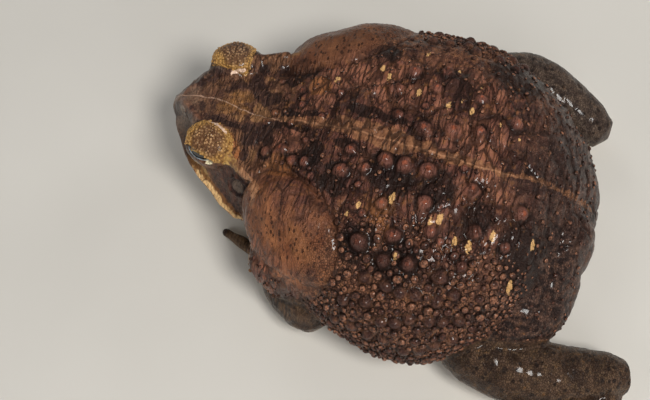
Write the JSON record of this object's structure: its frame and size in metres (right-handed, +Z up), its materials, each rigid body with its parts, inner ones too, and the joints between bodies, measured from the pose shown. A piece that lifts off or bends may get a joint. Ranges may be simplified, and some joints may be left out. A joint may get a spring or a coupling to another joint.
{
  "type": "cane toad",
  "caption": "Life-size cane toad sitting low on its belly, legs folded, one hind foot turned out.",
  "frame": {"origin": "on the floor, under the middle of the belly", "axes": "+Z up, -Y towards the snout, +X towards the toad's own left side"},
  "size_m": [0.298, 0.2689, 0.1007],
  "materials": {
    "back_skin": "wet, warty, dark chocolate brown with a paler line along the spine",
    "gland_skin": "wet, orange brown, pitted with dark pores",
    "face_skin": "wet, grey brown with ochre lips",
    "lid_skin": "ochre, covered with fine granules",
    "jaw_skin": "cream with brown mottling",
    "leg_skin": "wet, grey brown with dark pores",
    "foot_skin": "brown with paler toe tips",
    "eardrum_skin": "smooth dark brown",
    "eye_surface": "wet, glossy, dark iris and pupil"
  },
  "bodies": {
    "root": {"torso": "back_skin", "head": "face_skin", "lower_jaw": "jaw_skin", "parotoid_left": "gland_skin", "parotoid_right": "gland_skin", "tympanum_left": "eardrum_skin", "tympanum_right": "eardrum_skin", "eye_left": "eye_surface", "eye_right": "eye_surface", "upper_lid_left": "lid_skin", "upper_lid_right": "lid_skin", "lower_lid_left": "lid_skin", "lower_lid_right": "lid_skin", "upper_arm_left": "leg_skin", "upper_arm_right": "leg_skin", "forearm_left": "leg_skin", "forearm_right": "leg_skin", "hand_left": "foot_skin", "hand_right": "foot_skin", "thigh_left": "leg_skin", "thigh_right": "leg_skin", "shank_left": "leg_skin", "shank_right": "leg_skin", "tarsus_left": "leg_skin", "tarsus_right": "leg_skin", "foot_left": "foot_skin", "foot_right": "foot_skin"}
  },
  "joints": []
}
